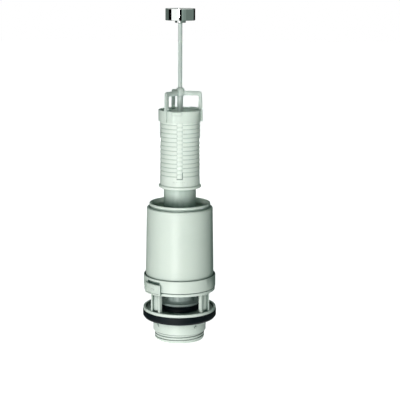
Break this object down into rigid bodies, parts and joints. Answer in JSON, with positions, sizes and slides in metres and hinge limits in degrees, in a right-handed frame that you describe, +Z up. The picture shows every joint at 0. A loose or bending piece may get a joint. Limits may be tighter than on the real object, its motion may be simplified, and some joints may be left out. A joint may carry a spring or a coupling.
{
  "type": "pull-up flush valve",
  "caption": "Cistern flush valve: threaded spigot with seal, basket, bell, ribbed height sleeve on an overflow tube, and a pull rod with a round chromed knob.",
  "frame": {"origin": "middle of the spigot's lower end, on the valve's axis", "axes": "+Z up along the valve's axis to the knob, -Y to the front with the scale strip, +X right"},
  "size_m": [0.0878, 0.0878, 0.3914],
  "materials": {
    "white_plastic": "satin moulded",
    "grey_plastic": "satin moulded",
    "black_rubber": "matt",
    "float_foam": "fine grained",
    "chrome": "polished",
    "satin_metal": "fine satin grain"
  },
  "bodies": {
    "base": {"valve_base": "white_plastic", "base_seal": "black_rubber", "seal_washer": "grey_plastic"},
    "bell": {"bell_housing": "white_plastic", "locking_ring": "white_plastic"},
    "valve": {"valve_stem": "grey_plastic", "flush_seal": "black_rubber", "seal_retainer": "grey_plastic", "stem_o_ring": "black_rubber", "overflow_tube": "white_plastic", "float_ring": "float_foam", "float_clip": "grey_plastic"},
    "head": {"height_sleeve": "white_plastic", "sleeve_o_ring": "black_rubber", "cage_bracket": "white_plastic", "rod_sleeve": "grey_plastic"},
    "pull": {"pull_rod": "grey_plastic", "knob_hub": "chrome", "knob_shell": "chrome", "knob_core": "grey_plastic", "knob_face": "satin_metal"}
  },
  "joints": [
    {"name": "bayonet_twist", "type": "hinge", "parent": "base", "child": "bell", "pos_m": [0, 0, 0.0649], "axis": [0, 0, 1], "range_deg": [0, 21]},
    {"name": "valve_lift", "type": "slide", "parent": "bell", "child": "valve", "axis": [0, 0, 1], "range_m": [0, 0.02]},
    {"name": "sleeve_height", "type": "slide", "parent": "valve", "child": "head", "axis": [0, 0, 1], "range_m": [-0.04, 0.035]},
    {"name": "rod_height", "type": "slide", "parent": "head", "child": "pull", "axis": [0, 0, 1], "range_m": [-0.05, 0.015]}
  ]
}
